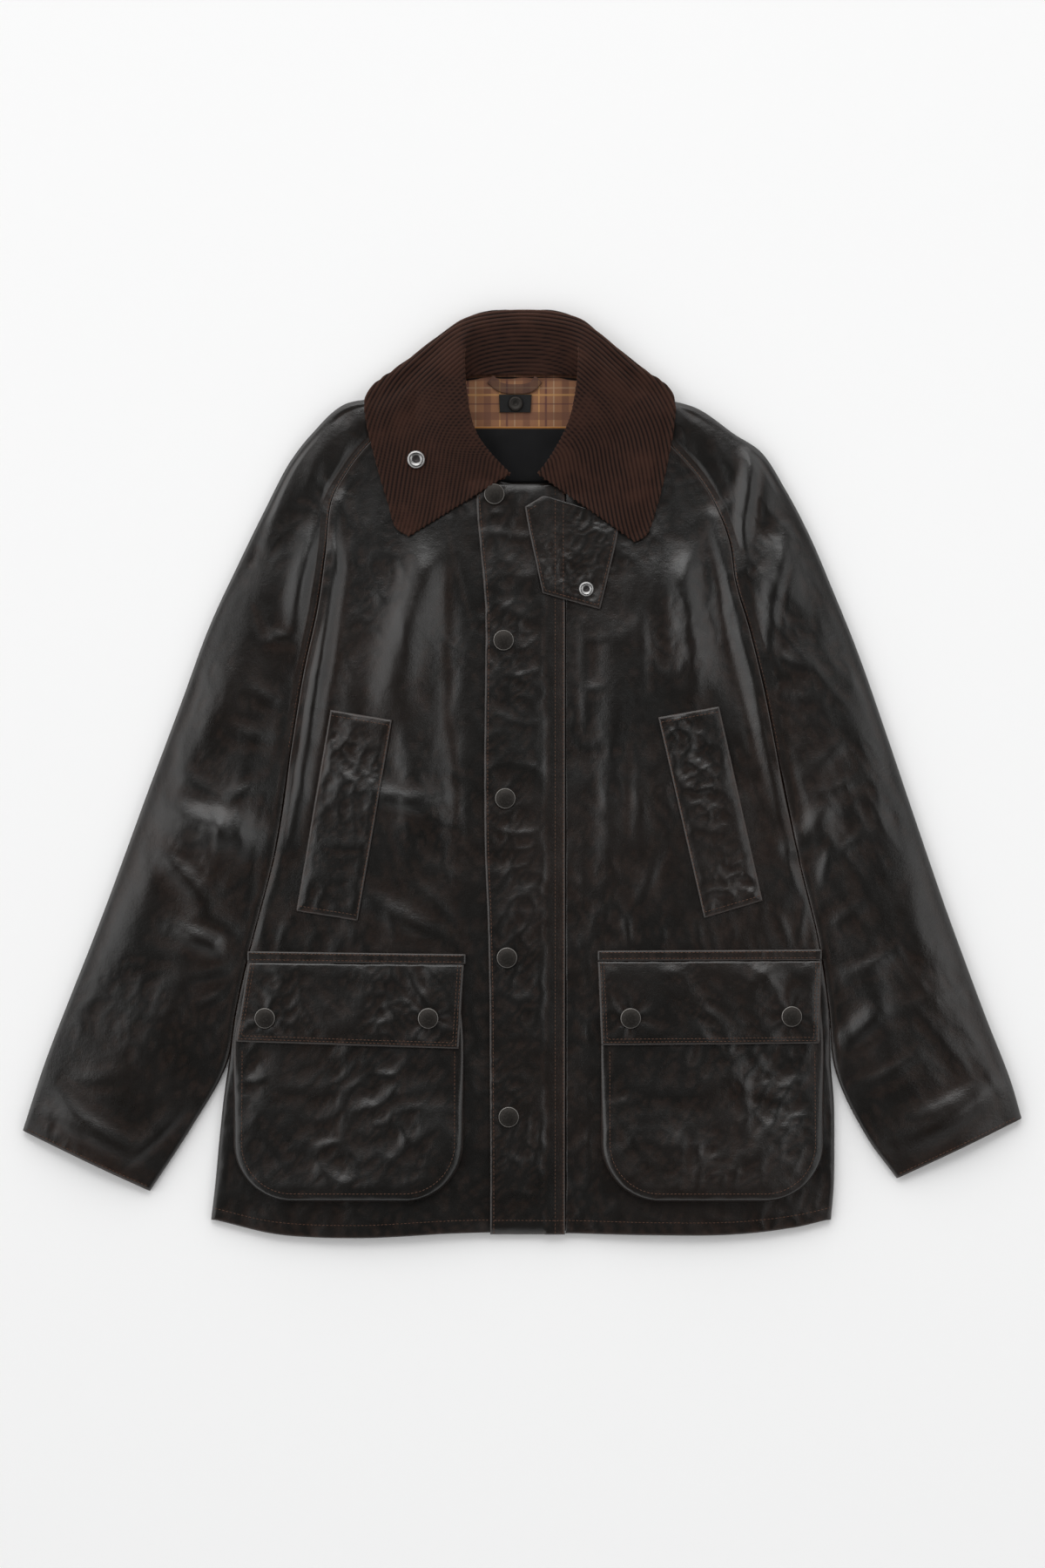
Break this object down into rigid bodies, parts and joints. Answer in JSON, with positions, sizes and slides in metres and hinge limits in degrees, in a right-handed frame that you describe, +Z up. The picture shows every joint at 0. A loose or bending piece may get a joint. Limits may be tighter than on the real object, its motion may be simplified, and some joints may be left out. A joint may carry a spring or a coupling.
{
  "type": "waxed cotton jacket",
  "caption": "Waxed cotton jacket laid flat on its back: raglan sleeves, corduroy collar, snap-fastened fly, slanted handwarmer pockets and flapped bellows pockets.",
  "frame": {"origin": "on the surface that the jacket lies on, under the middle of its outline", "axes": "+X to the viewer's right, which is the wearer's left, +Y towards the collar, +Z up from the surface, out of the fronts"},
  "size_m": [0.8705, 0.808, 0.0264],
  "materials": {
    "waxed_cotton": "near-black brown-olive waxed cotton, semi-gloss, browned along seams and creases",
    "corduroy": "dark brown corduroy, matt",
    "check_lining": "brown checked cotton lining",
    "black_tape": "black woven label and tape",
    "cap_lacquer": "dark lacquered snap caps, worn at the rim",
    "silver": "bright nickel ring studs"
  },
  "bodies": {
    "root": {"back": "waxed_cotton", "front_right": "waxed_cotton", "front_left": "waxed_cotton", "sleeve_right": "waxed_cotton", "sleeve_left": "waxed_cotton", "fly": "waxed_cotton", "handwarmer_right": "waxed_cotton", "handwarmer_left": "waxed_cotton", "pocket_right": "waxed_cotton", "pocket_left": "waxed_cotton", "flap_right": "waxed_cotton", "flap_left": "waxed_cotton", "pocket_band_right": "waxed_cotton", "pocket_band_left": "waxed_cotton", "throat_tab": "waxed_cotton", "collar": "corduroy", "lining_yoke": "check_lining", "hang_loop": "check_lining", "label": "black_tape", "tape_tab": "black_tape", "tape_stud": "cap_lacquer", "fly_snap_1": "cap_lacquer", "fly_snap_2": "cap_lacquer", "fly_snap_3": "cap_lacquer", "fly_snap_4": "cap_lacquer", "fly_snap_5": "cap_lacquer", "flap_snap_1": "cap_lacquer", "flap_snap_2": "cap_lacquer", "flap_snap_3": "cap_lacquer", "flap_snap_4": "cap_lacquer", "tab_socket": "silver", "collar_stud": "silver"}
  },
  "joints": []
}
